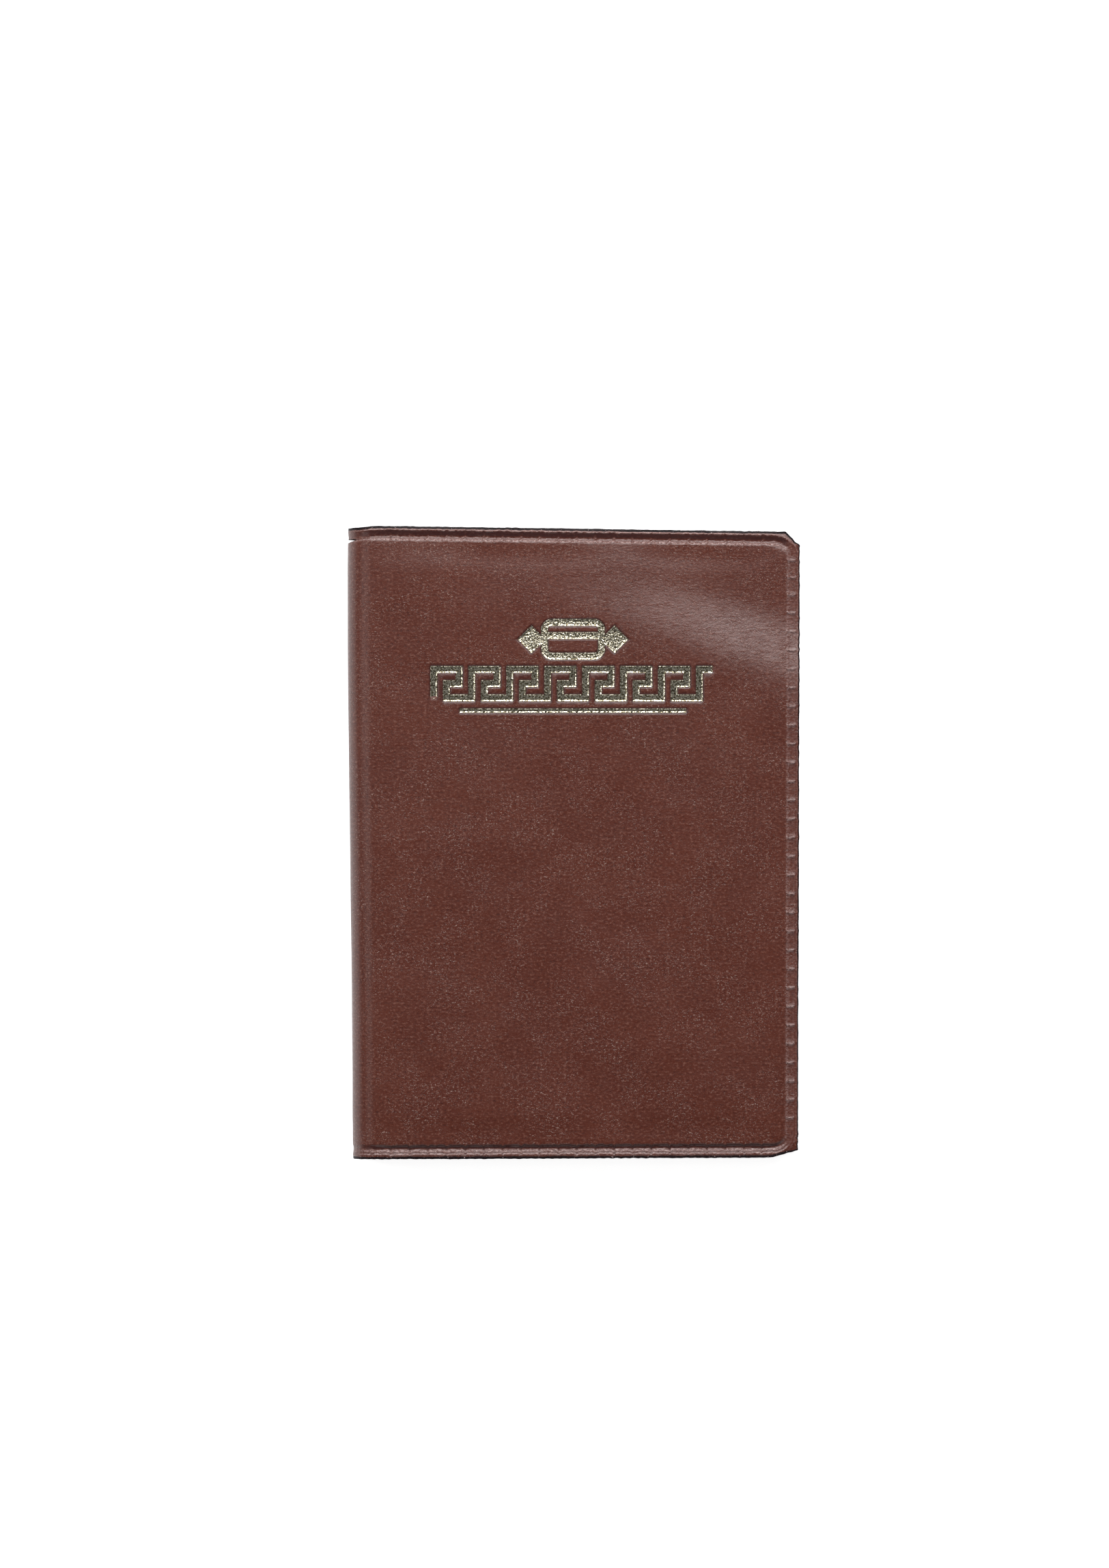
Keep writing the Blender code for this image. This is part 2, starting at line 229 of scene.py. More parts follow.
def remap(tree, value, low, high, to_low=0.0, to_high=1.0):
    """A soft step from to_low, where the value is low, to to_high."""
    inputs = {"Value": value, "From Min": low, "From Max": high, "To Min": to_low, "To Max": to_high}
    return node(tree, "ShaderNodeMapRange", inputs, interpolation_type="SMOOTHSTEP").outputs["Result"]


def maths(tree, operation, first, second=0.0, clamp=False):
    made = node(tree, "ShaderNodeMath", {0: first, 1: second}, operation=operation, use_clamp=clamp)
    return made.outputs[0]


def product(tree, first, *others):
    for other in others:
        first = maths(tree, "MULTIPLY", first, other)
    return first


def mixed(tree, share, first, second):
    """A colour between two, which are sockets or RGB values."""
    made = node(tree, "ShaderNodeMix", data_type="RGBA", clamp_factor=True)
    ends = {"Factor": share, "A": first, "B": second}
    sockets = {"Factor": made.inputs[0], "A": made.inputs[6], "B": made.inputs[7]}
    for key, value in ends.items():
        if isinstance(value, bpy.types.NodeSocket):
            tree.links.new(value, sockets[key])
        elif key == "Factor":
            sockets[key].default_value = value
        else:
            sockets[key].default_value = (*value, 1)
    return made.outputs[2]


def bump(tree, height, distance):
    """Bump of this height in millimetres where the height value is 1."""
    inputs = {"Height": height, "Distance": distance * MM, "Strength": 1.0}
    return node(tree, "ShaderNodeBump", inputs).outputs["Normal"]


def set_shader(tree, shader, values):
    for key, value in values.items():
        if isinstance(value, bpy.types.NodeSocket):
            tree.links.new(value, shader.inputs[key])
        else:
            shader.inputs[key].default_value = value


# ---- materials


def attribute(tree, name):
    return node(tree, "ShaderNodeAttribute", attribute_name=name).outputs["Fac"]


def creases(tree, size, width, share):
    """Short lying creases: pieces of the wavy lines where a stretched noise is a half."""
    wave = noise(tree, sheet_place(tree, (2.4, 1)), size, 1)
    off = maths(tree, "ABSOLUTE", maths(tree, "SUBTRACT", wave, 0.5))
    line = remap(tree, off, width, width * 0.2)
    piece = noise(tree, sheet_place(tree, (1.2, 1)), size * 0.6, 2, 0.6)
    return product(tree, line, remap(tree, piece, 1 - share, 1.12 - share))


def glints(tree, plain):
    """Painted highlight: short bright glints on creases, in patches, fainter where the weld pressed the
    sheet.
    """
    dense = remap(tree, noise(tree, sheet_place(tree), 9, 4, 0.65), 0.42, 0.62, 0.14, 1.0)
    wide, narrow = creases(tree, 0.62, 0.075, 0.44), creases(tree, 0.36, 0.09, 0.43)
    return product(tree, maths(tree, "ADD", wide, narrow, clamp=True), dense, plain)


BROWN, WARM_BROWN = (0.086, 0.0168, 0.0082), (0.099, 0.0215, 0.0112)
# grain tops lighter as painted highlight, pits darker as painted shade
GRAIN_TOP_HIGHLIGHT, GRAIN_PIT_SHADE = (0.172, 0.066, 0.047), (0.044, 0.0080, 0.0050)
# the pale of the painted sheen and bloom, and of the painted glints
BLOOM_SHEEN_PALE, GLINT = (0.40, 0.27, 0.25), (0.36, 0.23, 0.19)
# the dark of the painted shade at the weld, and the pale of the painted highlights on its ridges
WELD_SHADE_DARK, HIGHLIGHT_PALE = (0.024, 0.0070, 0.0085), (0.55, 0.39, 0.37)


def leatherette_color(tree, grain, haze, crease_glint, weld_and_shade, highlight_beads):
    """Printed brown with clouds and a grain mottle, its tops paler as painted highlight and its pits darker
    as painted shade; pale in the painted sheen and bloom, with painted glints on creases and painted
    highlights on the weld's ridges; dark at the weld, where it is pressed, mostly as painted shade.
    """
    clouds = noise(tree, sheet_place(tree), 14, 3, 0.6)
    color = mixed(tree, remap(tree, clouds, 0.35, 0.68), BROWN, WARM_BROWN)
    layers = (
        # the grain's mottle: tops lighter as painted highlight, pits darker as painted shade
        (remap(tree, grain, 0.52, 0.68, 0.0, 0.9), GRAIN_TOP_HIGHLIGHT),
        (remap(tree, grain, 0.47, 0.32, 0.0, 0.7), GRAIN_PIT_SHADE),
        # painted sheen on the front cover and pale bloom on the back
        (product(tree, haze, 0.20), BLOOM_SHEEN_PALE),
        # painted glints on the grain's creases
        (product(tree, crease_glint, 0.7), GLINT),
        # painted shade in the weld's grooves, under the ribs and round the strokes, where the sheet is also
        # pressed
        (product(tree, weld_and_shade, 0.7), WELD_SHADE_DARK),
        # painted highlight on the weld's ridges that face the key light
        (product(tree, highlight_beads, 0.7), HIGHLIGHT_PALE),
    )
    for share, tint in layers:
        color = mixed(tree, share, color, tint)
    return color


def leatherette_material():
    """Printed and embossed PVC: fine grain, short painted glints on its creases, pressed flat at the weld,
    with painted sheen, highlights and shade.
    """
    made, tree, shader = new_material("leatherette")
    # The weld tone is mostly painted shade, the rub tone is painted highlight, and the bloom tone is painted
    # sheen on the front and bloom on the back.
    weld_and_shade, ridge_highlight, bloom_and_sheen = (attribute(tree, name) for name in ("weld_and_shade", "ridge_highlight", "bloom_and_sheen"))
    grain = noise(tree, sheet_place(tree, (1.5, 1)), 0.42, 3, 0.65)
    streaks = noise(tree, sheet_place(tree, (3.5, 1)), 0.7, 4, 0.65)
    beads = noise(tree, sheet_place(tree, (1.6, 1)), 0.34, 2, 0.6)
    plain = maths(tree, "SUBTRACT", 1.0, product(tree, weld_and_shade, 0.8))
    crease_glint = glints(tree, plain)
    # this haze is the painted sheen and bloom, broken into streaks
    haze = product(tree, bloom_and_sheen, remap(tree, streaks, 0.36, 0.62, 0.25, 1.0))
    # painted highlight on the weld's ridges, broken into beads
    highlight_beads = product(tree, ridge_highlight, remap(tree, beads, 0.40, 0.60, 0.15, 1.0))
    lively = product(tree, plain, maths(tree, "ADD", 1.0, product(tree, bloom_and_sheen, 2.0)))
    height = maths(tree, "ADD", grain, product(tree, crease_glint, 0.8))
    height = maths(tree, "ADD", height, product(tree, highlight_beads, 1.2))
    set_shader(tree, shader, {
        "Base Color": leatherette_color(tree, grain, haze, crease_glint, weld_and_shade, highlight_beads),
        "Roughness": remap(tree, streaks, 0.3, 0.7, 0.30, 0.40),
        "Specular IOR Level": 0.5,
        "Coat Weight": product(tree, haze, 0.8),
        "Coat Roughness": 0.32,
        "Normal": bump(tree, product(tree, height, lively), 0.048),
    })
    return made


def cut_edge_material():
    """The sheet's cut edge and its outline: black, melted by the weld, with pale beads."""
    made, tree, shader = new_material("cut_edge")
    place = sheet_place(tree)
    beads = noise(tree, place, 0.45, 2, 0.6)
    color = mixed(tree, remap(tree, beads, 0.35, 0.6), (0.004, 0.0018, 0.0022), (0.016, 0.007, 0.009))
    color = mixed(tree, remap(tree, beads, 0.66, 0.72), color, (0.36, 0.28, 0.28))
    set_shader(tree, shader, {
        "Base Color": color,
        "Roughness": 0.55,
        "Specular IOR Level": 0.18,
        "Normal": bump(tree, beads, 0.05),
    })
    return made


def lining_material():
    """Thin brown film with a fine matte emboss."""
    made, tree, shader = new_material("lining")
    place = sheet_place(tree)
    clouds = noise(tree, place, 14, 3, 0.6)
    color = mixed(tree, remap(tree, clouds, 0.3, 0.7), (0.075, 0.028, 0.02), (0.11, 0.044, 0.031))
    emboss = cells(tree, sheet_place(tree, (1, 1.4)), 0.5)
    color = mixed(tree, remap(tree, emboss, 0.0, 0.35, 0.4, 0.0), color, (0.03, 0.011, 0.009))
    rough = remap(tree, noise(tree, place, 3, 3), 0.3, 0.7, 0.38, 0.55)
    set_shader(tree, shader, {"Base Color": color, "Roughness": rough, "Normal": bump(tree, emboss, 0.03)})
    return made


def clear_film_material():
    """Clear PVC film: glossy, a little milky, with faint handling marks."""
    made, tree, shader = new_material("clear_film")
    place = sheet_place(tree)
    haze = noise(tree, place, 18, 4, 0.6)
    scratches = noise(tree, sheet_place(tree, (6, 0.6)), 0.6, 4, 0.7)
    # Painted reflection: the film grows more opaque and milky where it is seen edge-on, standing in for its
    # gloss at grazing angles.
    edge = node(tree, "ShaderNodeLayerWeight", {"Blend": 0.25}).outputs["Facing"]
    alpha = maths(tree, "ADD", remap(tree, haze, 0.3, 0.7, 0.03, 0.055), product(tree, edge, 0.22))
    alpha = maths(tree, "ADD", alpha, remap(tree, scratches, 0.62, 0.75, 0.0, 0.08), clamp=True)
    color = mixed(tree, remap(tree, haze, 0.3, 0.7), (0.74, 0.79, 0.80), (0.86, 0.89, 0.88))
    ripples = noise(tree, sheet_place(tree, (1, 2.5)), 5, 2)
    set_shader(tree, shader, {
        "Base Color": color,
        "Roughness": remap(tree, scratches, 0.4, 0.75, 0.07, 0.22),
        "Alpha": alpha,
        "Normal": bump(tree, ripples, 0.12),
    })
    return made


def foil_material():
    """Pressed gold foil, its colour a painted reflection: dark where it lies flat, bright on its facets as
    painted highlight, worn through in specks.
    """
    made, tree, shader = new_material("foil")
    place = sheet_place(tree)
    rough_bed = attribute(tree, "crumple")
    crumple = noise(tree, place, 0.34, 3, 0.6)
    facets = cells(tree, place, 0.30)
    worn = noise(tree, place, 0.75, 4, 0.7)
    # Painted reflection: dark olive where the crumple is low and bright gold on its high facets, from the
    # same noise as the bump.
    color = mixed(tree, remap(tree, crumple, 0.40, 0.60), (0.12, 0.098, 0.052), (0.88, 0.82, 0.66))
    color = mixed(tree, remap(tree, worn, 0.57, 0.66), color, (0.035, 0.024, 0.014))
    height = maths(tree, "ADD", crumple, product(tree, facets, 0.6))
    set_shader(tree, shader, {
        "Base Color": color,
        "Metallic": remap(tree, worn, 0.60, 0.70, 1.0, 0.5),
        "Roughness": remap(tree, crumple, 0.3, 0.7, 0.30, 0.20),
        "Normal": bump(tree, product(tree, height, rough_bed), 0.10),
    })
    return made


def foam_material():
    """Cream foam with small open cells."""
    made, tree, shader = new_material("padding")
    place = sheet_place(tree)
    cell = cells(tree, place, 0.45)
    clouds = remap(tree, noise(tree, place, 9, 3), 0.3, 0.7)
    color = mixed(tree, clouds, (0.70, 0.65, 0.52), (0.82, 0.78, 0.67))
    color = mixed(tree, remap(tree, cell, 0.0, 0.3, 0.6, 0.0), color, (0.42, 0.37, 0.28))
    set_shader(tree, shader, {"Base Color": color, "Roughness": 0.92, "Normal": bump(tree, cell, 0.12)})
    return made


# ---- shapes


def smooth(low, high, value):
    """0 below low, 1 above high and a soft step between."""
    share = np.clip((value - low) / (high - low), 0, 1)
    return share * share * (3 - 2 * share)


def ripple(seed, x, y, length, stretch=1.0, waves=16):
    """Smooth noise of unit strength from plane waves, with features of about this length."""
    draw = np.random.default_rng(seed)
    turn = draw.uniform(0, 2 * math.pi, waves)
    number = 2 * math.pi / length * draw.uniform(0.6, 1.5, waves)
    phase = draw.uniform(0, 2 * math.pi, waves)
    total = 0
    for angle, k, start in zip(turn, number, phase):
        total = total + np.sin(k * (x / stretch * math.cos(angle) + y * math.sin(angle)) + start)
    return total * math.sqrt(2 / waves)


def line_set(*parts, least=0.06):
    """Sorted grid lines. Of two closer than least, the one from the earlier part is kept."""
    kept = np.array([])
    for part in parts:
        for value in np.sort(np.asarray(part, float)):
            if not kept.size or np.abs(kept - value).min() >= least:
                kept = np.append(kept, value)
    return np.sort(kept)


def evenly(low, high, step):
    return np.linspace(low, high, max(2, round((high - low) / step) + 1))


def wrapped(side, x, y, depth):
    """Points of a cover: plan places at a depth, flat to the bend and then round the spine."""
    angle = np.clip(BEND_X - x, 0, None) / RADIUS
    reach = RADIUS - depth
    flat_x = np.maximum(x, BEND_X)
    return np.stack([flat_x - reach * np.sin(angle), y, RADIUS + side * reach * np.cos(angle)], -1)


NICK_TIP = (SPINE_X + 1.9, TOP_Y - 2.28)
NICK_MOUTH = (TOP_Y - 2.85, TOP_Y - 2.2)  # from one lip to the other


def nicked(points, room):
    """Dents the spine inwards at the small tear below its top end. room is left outside the dent."""
    x, y = points[..., 0], points[..., 1]
    low = np.clip((y - NICK_MOUTH[0]) / (NICK_TIP[1] - NICK_MOUTH[0]), 0, 1)
    high = np.clip((NICK_MOUTH[1] - y) / (NICK_MOUTH[1] - NICK_TIP[1]), 0, 1)
    tip = SPINE_X + (NICK_TIP[0] - SPINE_X) * np.minimum(low, high)
    torn = (low > 0) & (high > 0)
    points[..., 0] = np.where(torn, np.maximum(x, tip + room), x)
    return points


SLANT_RUN = (-35.4, 38.3)  # the stretch of X along which the long edges run in
TOP_SLANT, BOTTOM_SLANT, FORE_SLANT = 1.03, 0.32, 0.39  # how far each edge runs in
TOP_LEFT_DIP = 0.35  # the top edge also drops a little at the spine
SPINE_SLANT = (0.15, 0.95)  # the spine's inset everywhere, and what its lower end adds
RAGGED = 0.03


def uneven(points):
    """The holder isn't cut quite square: its edges run in a little towards the lower and right ends."""
    x, y = points[..., 0].copy(), points[..., 1].copy()
    rightward = np.clip((x - SLANT_RUN[0]) / (SLANT_RUN[1] - SLANT_RUN[0]), 0, 1)
    top = TOP_SLANT * rightward + TOP_LEFT_DIP * smooth(-36.5, -42, x)
    bottom = BOTTOM_SLANT * rightward
    fore = FORE_SLANT * np.clip((TOP_Y - y) / (2 * TOP_Y), 0, 1)
    spine = SPINE_SLANT[0] + SPINE_SLANT[1] * smooth(52, -55, y)
    ragged = RAGGED * ripple(7, x, y, 1.7)
    points[..., 1] = y - (top + ragged) * smooth(43, TOP_Y, y) + (bottom + ragged) * smooth(-43, BOTTOM_Y, y)
    points[..., 0] = x - (fore + ragged) * smooth(30, FORE_X, x) + spine * smooth(-34, SPINE_X, x)
    return points


def finished(points, room=0.0):
    return uneven(nicked(points, room))


def rim_runs(index):
    """The four sides of a grid of vertices in order round it, each with its outward direction."""
    return ((index[:, 0], (0, -1)), (index[-1], (1, 0)), (index[::-1, -1], (0, 1)), (index[0, ::-1], (-1, 0)))


def quads(index):
    corners = [index[:-1, :-1], index[1:, :-1], index[1:, 1:], index[:-1, 1:]]
    return np.stack(corners, -1).reshape(-1, 4).tolist()


def patches(index, rows, columns):
    """Faces over a grid that use only some of its lines, and every vertex of its rim."""
    faces = []
    for i0, i1 in zip(rows, rows[1:]):
        for j0, j1 in zip(columns, columns[1:]):
            low = index[i0:i1 + 1, 0] if j0 == 0 else index[[i0, i1], j0]
            right = index[-1, j0:j1 + 1] if i1 == len(index) - 1 else index[i1, [j0, j1]]
            high = index[i0:i1 + 1, -1] if j1 == index.shape[1] - 1 else index[[i0, i1], j1]
            left = index[0, j0:j1 + 1] if i0 == 0 else index[i0, [j0, j1]]
            faces.append([*low[:-1], *right[:-1], *high[:0:-1], *left[:0:-1]])
    return faces


SHARP_ANGLE = 40  # edges that turn more than this are drawn sharp


def make_object(name, points, faces, places, slots, materials, tones=None):
    """A mesh object from points in millimetres. places are the faces' corners on the flat sheet.

    tones are values at the vertices, by name, that materials read.
    """
    mesh = bpy.data.meshes.new(name)
    mesh.from_pydata((np.asarray(points) * MM).tolist(), [], faces)
    for tone, values in (tones or {}).items():
        mesh.attributes.new(tone, "FLOAT", "POINT").data.foreach_set("value", values.astype(np.float32))
    layer = mesh.uv_layers.new(name="cut")
    layer.data.foreach_set("uv", (np.asarray(places) * MM).ravel())
    mesh.polygons.foreach_set("material_index", slots)
    for made in materials:
        mesh.materials.append(made)
    shape = bmesh.new()
    shape.from_mesh(mesh)
    bmesh.ops.delete(shape, geom=[v for v in shape.verts if not v.link_faces], context="VERTS")
    bmesh.ops.recalc_face_normals(shape, faces=shape.faces)
    shape.to_mesh(mesh)
    shape.free()
    mesh.shade_smooth()
    mesh.set_sharp_from_angle(angle=math.radians(SHARP_ANGLE))
    obj = bpy.data.objects.new(name, mesh)
    bpy.context.scene.collection.objects.link(obj)
    return obj


def rim_faces(index, points, place):
    """Faces that join the rims of a sheet's two sides, and their corners on the flat sheet."""
    faces, places = [], []
    for run, outward in rim_runs(index):
        for here, there in zip(run, run[1:]):
            faces.append([here, there, index.size + there, index.size + here])
            away = np.array(outward) * np.linalg.norm(points[here] - points[index.size + here])
            places.append(np.stack([place[here], place[there], place[there] + away, place[here] + away]))
    return faces, places


def sheet_between(name, outer, inner, flat, materials, coarse=None, tones=None):
    """A closed sheet between two grids of points, whose places on the flat sheet are flat.

    coarse lists the rows and the columns that the inner side keeps. The rim gets the last material,
    and so do the outer faces where the tone "outline" is 1.
    """
    grid = flat.shape[:2]
    index = np.arange(grid[0] * grid[1]).reshape(grid)
    points = np.concatenate([outer.reshape(-1, 3), inner.reshape(-1, 3)])
    place = flat.reshape(-1, 2)
    tones = dict(tones or {})
    outside = quads(index)
    edged = tones.pop("outline", np.zeros(grid)).ravel()[np.array(outside)].mean(-1) > 0.5
    inside = quads(index) if coarse is None else patches(index, *coarse)
    rim, rim_places = rim_faces(index, points, place)
    faces = outside + [[index.size + corner for corner in face] for face in inside] + rim
    places = [place[np.array(outside).ravel()], *(place[face] for face in inside), *rim_places]
    last = len(materials) - 1
    slots = (edged * last).tolist() + [0] * len(inside) + [last] * len(rim)
    for tone, values in tones.items():
        tones[tone] = np.concatenate([values.ravel(), np.zeros(index.size)])
    return make_object(name, points, faces, np.concatenate(places), slots, materials, tones)


# ---- welded border

WELD_CORNER = 5.0  # radius of the weld's outer line at the fore-edge corners
# Distance in from the edge, and depth: an outer lip, a groove and the rise to the padded panel
TOP_WELD = (
    (0, 0.12, 0.44, 0.52, 0.70, 0.78, 1.05, 1.2, 1.85,
     2.0, 2.12, 2.34, 2.42, 2.66, 2.85, 3.6, 5, 8),
    (0.64, 0.57, 0.50, 0.47, 0.38, 0.38, 0.51, 0.52, 0.75,
     0.75, 0.70, 0.68, 0.62, 0.34, 0.27, 0.22, 0.17, 0),
)
FORE_WELD = (
    (0, 0.12, 0.36, 0.6, 1.0, 1.6, 1.9, 2.15, 2.4, 2.7, 3.2, 4, 6, 9),
    (0.60, 0.50, 0.43, 0.44, 0.52, 0.56, 0.53, 0.42, 0.34, 0.30, 0.23, 0.14, 0.05, 0),
)
# The grid lines along the border, by distance in from the edge
WELD_LINES = np.array((
    0, 0.12, 0.24, 0.36, 0.45, 0.54, 0.63, 0.72, 0.80, 0.92, 1.05, 1.2, 1.4, 1.6, 1.85,
    2.0, 2.12, 2.23, 2.34, 2.42, 2.54, 2.66, 2.76, 2.86, 3.1, 3.5, 4.2, 5.5,
))
OUTLINE = 0.45  # width of the black cut outline at the ends; it is narrower along the fore-edge
CORNER_DROP = 0.2  # how far a cut corner's edge turns down, inside the weld's round corner
RIB_LINES = (-0.42, -0.24, -0.09, 0.0, 0.10, 0.21)  # the grid lines at a rib, from its crest
FORE_RIB_PITCH, FORE_RIB_START = 3.55, -52.3
LONG_RIB_PITCH, LONG_RIB_START = 3.52, -34.4
FORE_RIBS = FORE_RIB_START + FORE_RIB_PITCH * np.arange(31)
LONG_RIBS = LONG_RIB_START + LONG_RIB_PITCH * np.arange(21)
RIB_LOWER, RIB_UPPER, RIB_HEIGHT = 0.28, 0.12, 0.13  # widths of a rib's lower and upper side


def trimmed(x, y):
    """Plan places with the fore-edge corners cut off: rows near a cut corner close up."""
    reach = 7
    top = TOP_TRIM[1] * np.clip(1 - (FORE_X - x) / TOP_TRIM[0], 0, 1)
    bottom = BOTTOM_TRIM[1] * np.clip(1 - (FORE_X - x) / BOTTOM_TRIM[0], 0, 1)
    y = y - top * np.clip((y - TOP_Y + reach) / reach, 0, 1)
    return x, y + bottom * np.clip((BOTTOM_Y + reach - y) / reach, 0, 1)


def cut_distance(x, y):
    """How far inside the cut outline."""
    inside = np.minimum(FORE_X - x, TOP_Y - np.abs(y))
    for (along_x, along_y), sign in ((TOP_TRIM, 1), (BOTTOM_TRIM, -1)):
        across = (FORE_X - x) * along_y + (TOP_Y - sign * y) * along_x - along_x * along_y
        inside = np.minimum(inside, across / math.hypot(along_x, along_y))
    return inside


def weld_distance(x, y):
    """How far inside the weld's outer line, which has round corners at the fore-edge."""
    past_x = np.maximum(x - (FORE_X - WELD_CORNER), 0)
    past_y = np.maximum(np.abs(y) - (TOP_Y - WELD_CORNER), 0)
    straight = np.minimum(FORE_X - x, TOP_Y - np.abs(y))
    return np.where((past_x > 0) | (past_y > 0), WELD_CORNER - np.hypot(past_x, past_y), straight)


def rib_share(along, ribs):
    """1 on a rib's crest."""
    away = along[..., None] - ribs
    nearest = np.take_along_axis(away, np.abs(away).argmin(-1)[..., None], -1)[..., 0]
    return np.exp(-(nearest / np.where(nearest < 0, RIB_LOWER, RIB_UPPER)) ** 2)


def fore_share(x, y):
    """1 where the fore-edge's weld runs, 0 where the top and bottom ones do."""
    return smooth(-1.5, 1.5, (TOP_Y - np.abs(y)) - (FORE_X - x))


def kinked_distance(x, y):
    """The distance inside the weld's outer line as its long lines take it, with a kink at each rib."""
    inside = weld_distance(x, y)
    kink = 0.24 * rib_share(x, LONG_RIBS) + 0.03 * ripple(5, x, y, 0.9)
    return inside + kink * (1 - fore_share(x, y)) * smooth(0.4, 0.8, inside)


def rib_bow(inside):
    """How far a rib on the fore-edge bows along that edge."""
    return 0.2 * (inside - 1.5) ** 2


def weld_depth(x, y):
    """Depth of the outer face from the weld along the border, with its short ribs."""
    inside = weld_distance(x, y)
    fore = fore_share(x, y)
    depth = np.interp(kinked_distance(x, y), *TOP_WELD) * (1 - fore)
    depth = depth + np.interp(inside, *FORE_WELD) * fore
    on_fore = rib_share(y - rib_bow(inside), FORE_RIBS) * fore
    on_long = rib_share(x, LONG_RIBS) * (1 - fore) * smooth(2.2, 1.9, inside) * 0.6
    groove = smooth(0.6, 0.9, inside) * smooth(2.6, 2.3, inside)
    ribs = smooth(TOP_Y - 2.5, TOP_Y - 5, np.abs(y)) * on_fore + smooth(FORE_X - 3, FORE_X - 6, x) * on_long
    depth = depth - RIB_HEIGHT * groove * ribs
    faded = 0.3 + 0.7 * smooth(BEND_X - 2, BEND_X + 3.5, x)
    cut_corner = smooth(OUTLINE, 0, cut_distance(x, y)) * (inside > OUTLINE)
    return depth * faded + CORNER_DROP * cut_corner


# ---- ornament

STROKE = 1.1
BAND_SIZE, BAND_UNITS = (53.8, 6.5), 7
EMBLEM_SIZE, EMBLEM_CORNER, STRIPE_RISE = (11.9, 7.5), 1.4, 0.7
LOZENGE, LOZENGE_LAP = 5.0, 0.6
PRESSED = 0.28  # how deep the ornament is stamped
ORNAMENT = ("foil_emblem", "foil_band", "foil_rule")


def box_distance(x, y, centre, half):
    """Signed distance to a rectangle, negative inside."""
    out_x, out_y = np.abs(x - centre[0]) - half[0], np.abs(y - centre[1]) - half[1]
    return np.hypot(np.maximum(out_x, 0), np.maximum(out_y, 0)) + np.minimum(np.maximum(out_x, out_y), 0)


def meander(width, height, units):
    """A hooked wave of square turns: up, across, half down, half back, down and on."""
    unit = width / (units + 1 / 3)
    points = [(-width / 2, -height / 2)]
    for number in range(units):
        left = -width / 2 + number * unit
        points += [(left, height / 2), (left + unit * 2 / 3, height / 2), (left + unit * 2 / 3, 0),
                   (left + unit / 3, 0), (left + unit / 3, -height / 2), (left + unit, -height / 2)]
    points += [(width / 2 - unit / 3, height / 2), (width / 2, height / 2)]
    return points


BAND_Y = node_centre("foil_band")[1]
BAND_LINE = meander(BAND_SIZE[0] - STROKE, BAND_SIZE[1] - STROKE, BAND_UNITS)
EMBLEM_Y = node_centre("foil_emblem")[1]
RULE_LOW, RULE_HIGH = node_box("foil_rule")


def band_distance(x, y):
    """Square-cornered strokes along the band's line, with flat free ends."""
    nearest = np.full(np.shape(x), 99.0)
    last = len(BAND_LINE) - 2
    for number, (start, end) in enumerate(zip(BAND_LINE, BAND_LINE[1:])):
        start, end = np.array(start), np.array(end)
        along = (end - start) / np.linalg.norm(end - start)
        first = start if number == 0 else start - along * STROKE / 2
        second = end if number == last else end + along * STROKE / 2
        half = np.abs(second - first) / 2 + np.abs(along[::-1]) * STROKE / 2
        nearest = np.minimum(nearest, box_distance(x, y - BAND_Y, (first + second) / 2, half))
    return nearest


def emblem_distance(x, y):
    """A bank card's outline with its stripe, between two lozenges."""
    y = y - EMBLEM_Y
    half = np.array(EMBLEM_SIZE) / 2 - STROKE / 2
    frame_line = box_distance(x, y, (0, 0), half - EMBLEM_CORNER) - EMBLEM_CORNER
    found = np.abs(frame_line) - STROKE / 2
    found = np.minimum(found, box_distance(x, y, (0, STRIPE_RISE), (half[0], STROKE / 2)))
    reach = EMBLEM_SIZE[0] / 2 + LOZENGE / 2 - LOZENGE_LAP
    lozenge = (np.abs(np.abs(x) - reach) + np.abs(y) - LOZENGE / 2) / math.sqrt(2)
    return np.minimum(found, lozenge)


def rule_distance(x, y):
    centre, half = (RULE_LOW + RULE_HIGH) / 2, (RULE_HIGH - RULE_LOW) / 2
    return box_distance(x, y, centre, half)


ORNAMENT_DISTANCE = dict(zip(ORNAMENT, (emblem_distance, band_distance, rule_distance)))


def stroke_distance(x, y):
    """Signed distance to the nearest stroke of the ornament."""
    return np.minimum.reduce([distance(x, y) for distance in ORNAMENT_DISTANCE.values()])


# ---- covers

# The slope of the front cover's hanging corner, down towards +Y, by distance past its fold line
DROOP_SLOPE = ((-6.5, -3, 3, 6.5), (0, 0.088, 0.088, 0))


def past_fold(x, y):
    """Distance along Y past the slanting line about which the front cover's upper corner hangs down."""
    return y - (49.8 - 0.32 * x)


def droop(side, x, y):
    """How far the front cover hangs down above its pocket, most at the fore-edge."""
    if side < 0:
        return np.zeros(np.shape(x))
    line = np.linspace(-7, 7, 281)
    fallen = np.cumsum(np.interp(line, *DROOP_SLOPE)) * (line[1] - line[0])
    return np.interp(past_fold(x, y), line, fallen) * smooth(-22, 26, x)


def front_swell(x, y):
    """Low waves of the front panel."""
    return 0.14 + 0.06 * ripple(11, x, y, 34) + 0.025 * ripple(12, x, y, 13, 1.6)


def back_swell(x, y):
    return 0.14 + 0.05 * ripple(21, x, y, 30)


def outer_depth(side, x, y):
    """Depth of a cover's outer face."""
    inside = weld_distance(x, y)
    swell = front_swell(x, y) if side > 0 else back_swell(x, y)
    quiet = smooth(0.8, 7, inside) * (0.25 + 0.75 * smooth(BEND_X - 5, BEND_X + 2, x))
    depth = weld_depth(x, y) + swell * quiet
    if side > 0:
        depth = depth + PRESSED * smooth(0.28, -0.08, stroke_distance(x, y))
    return depth + droop(side, x, y)


def skin_depth(side, x, y):
    """Depth of a cover's inner face, which lies flat under the weld."""
    return 0.76 + 0.46 * smooth(4.2, 2.4, weld_distance(x, y)) + droop(side, x, y)


def hump(middle, half, value):
    return np.exp(-((value - middle) / half) ** 2)


